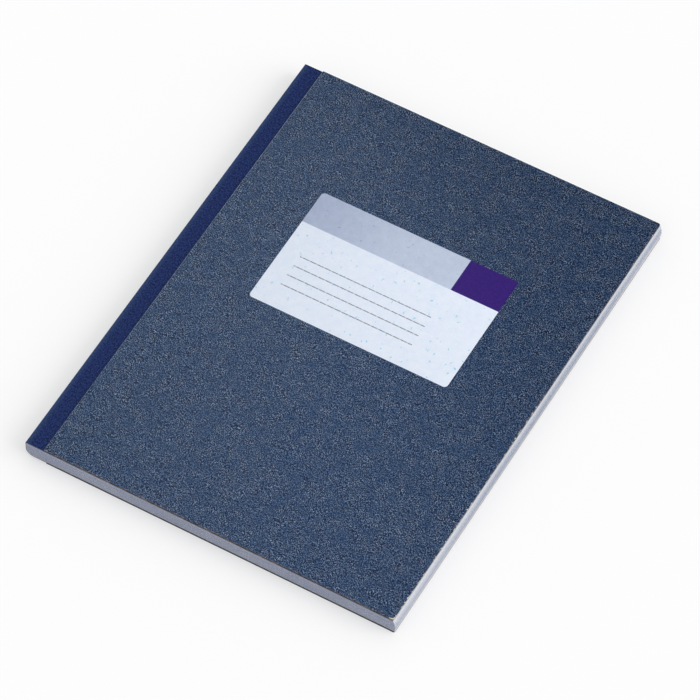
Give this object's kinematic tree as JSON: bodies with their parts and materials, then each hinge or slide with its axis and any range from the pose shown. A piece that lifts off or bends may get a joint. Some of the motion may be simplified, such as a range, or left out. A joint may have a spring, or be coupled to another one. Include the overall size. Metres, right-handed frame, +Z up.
{
  "type": "glued notebook",
  "caption": "Closed flush-cut notebook with speckled board covers, a cloth spine strip and a title label; the covers and the glued block of leaves open.",
  "frame": {"origin": "middle of the footprint of the closed book, on the surface that it lies on", "axes": "+X from the spine to the fore-edge, +Y from the tail to the head, +Z up, out of the front cover"},
  "size_m": [0.1608, 0.21, 0.0088],
  "materials": {
    "cover_paper": "satin",
    "greyboard": "matte",
    "spine_cloth": "matte",
    "endpaper": "matte",
    "leaf_paper": "matte",
    "lining_paper": "matte",
    "glue": "satin",
    "label_paper": "satin"
  },
  "bodies": {
    "back_cover": {"back_cover_paper": "cover_paper", "back_board": "greyboard", "back_pastedown": "endpaper", "cloth_back_strip": "spine_cloth"},
    "free_back_endpaper": {"back_flyleaf": "endpaper"},
    "lower_block": {"leaves_01": "leaf_paper", "leaves_02": "leaf_paper", "leaves_03": "leaf_paper", "leaves_04": "leaf_paper", "leaves_05": "leaf_paper", "leaves_06": "leaf_paper", "leaves_07": "leaf_paper", "leaves_08": "leaf_paper", "leaves_09": "leaf_paper", "spine_glue_lower": "glue", "spine_lining_lower": "lining_paper", "cloth_spine_lower": "spine_cloth"},
    "lifted_leaves_10": {"leaves_10": "leaf_paper"},
    "lifted_leaves_11": {"leaves_11": "leaf_paper"},
    "lifted_leaves_12": {"leaves_12": "leaf_paper"},
    "upper_block": {"leaves_16": "leaf_paper", "leaves_17": "leaf_paper", "leaves_18": "leaf_paper", "leaves_19": "leaf_paper", "leaves_20": "leaf_paper", "leaves_21": "leaf_paper", "leaves_22": "leaf_paper", "leaves_23": "leaf_paper", "leaves_24": "leaf_paper", "spine_glue_upper": "glue", "spine_lining_upper": "lining_paper", "cloth_spine_upper": "spine_cloth"},
    "trailing_leaves_13": {"leaves_13": "leaf_paper"},
    "trailing_leaves_14": {"leaves_14": "leaf_paper"},
    "trailing_leaves_15": {"leaves_15": "leaf_paper"},
    "free_front_endpaper": {"front_flyleaf": "endpaper"},
    "front_cover": {"front_pastedown": "endpaper", "front_board": "greyboard", "front_cover_paper": "cover_paper", "title_label": "label_paper", "cloth_front_strip": "spine_cloth"}
  },
  "joints": [
    {"name": "back_cover_hinge", "type": "hinge", "parent": "back_cover", "child": "lower_block", "pos_m": [-0.07727, 0, 0.00062], "axis": [0, -1, 0], "range_deg": [0, 30]},
    {"name": "middle_opening", "type": "hinge", "parent": "lower_block", "child": "upper_block", "pos_m": [-0.08042, 0, 0.00434], "axis": [0, -1, 0], "range_deg": [0, 130]},
    {"name": "front_cover_hinge", "type": "hinge", "parent": "upper_block", "child": "front_cover", "pos_m": [-0.08042, 0, 0.00761], "axis": [0, -1, 0], "range_deg": [0, 178]},
    {"name": "back_flyleaf_lift", "type": "hinge", "parent": "back_cover", "child": "free_back_endpaper", "pos_m": [-0.07727, 0, 0.00062], "axis": [0, -1, 0], "range_deg": [0, 15]},
    {"name": "leaves_10_lift", "type": "hinge", "parent": "lower_block", "child": "lifted_leaves_10", "pos_m": [-0.07987, 0, 0.00381], "axis": [0, -1, 0], "range_deg": [0, 2.5]},
    {"name": "leaves_11_lift", "type": "hinge", "parent": "lower_block", "child": "lifted_leaves_11", "pos_m": [-0.07987, 0, 0.00407], "axis": [0, -1, 0], "range_deg": [0, 5.5]},
    {"name": "leaves_12_lift", "type": "hinge", "parent": "lower_block", "child": "lifted_leaves_12", "pos_m": [-0.07987, 0, 0.00434], "axis": [0, -1, 0], "range_deg": [0, 12]},
    {"name": "leaves_13_trail", "type": "hinge", "parent": "upper_block", "child": "trailing_leaves_13", "pos_m": [-0.07987, 0, 0.00434], "axis": [0, 1, 0], "range_deg": [0, 12]},
    {"name": "leaves_14_trail", "type": "hinge", "parent": "upper_block", "child": "trailing_leaves_14", "pos_m": [-0.07987, 0, 0.0046], "axis": [0, 1, 0], "range_deg": [0, 5.5]},
    {"name": "leaves_15_trail", "type": "hinge", "parent": "upper_block", "child": "trailing_leaves_15", "pos_m": [-0.07987, 0, 0.00487], "axis": [0, 1, 0], "range_deg": [0, 2.5]},
    {"name": "front_flyleaf_lift", "type": "hinge", "parent": "upper_block", "child": "free_front_endpaper", "pos_m": [-0.07987, 0, 0.00751], "axis": [0, -1, 0], "range_deg": [0, 27]}
  ],
  "couplings": [
    {"joint": "back_flyleaf_lift", "follows": "back_cover_hinge", "ratio": 0.5},
    {"joint": "leaves_10_lift", "follows": "middle_opening", "ratio": 0.017},
    {"joint": "leaves_11_lift", "follows": "middle_opening", "ratio": 0.04},
    {"joint": "leaves_12_lift", "follows": "middle_opening", "ratio": 0.09},
    {"joint": "leaves_13_trail", "follows": "middle_opening", "ratio": 0.09},
    {"joint": "leaves_14_trail", "follows": "middle_opening", "ratio": 0.04},
    {"joint": "leaves_15_trail", "follows": "middle_opening", "ratio": 0.017},
    {"joint": "front_flyleaf_lift", "follows": "front_cover_hinge", "ratio": 0.15}
  ]
}
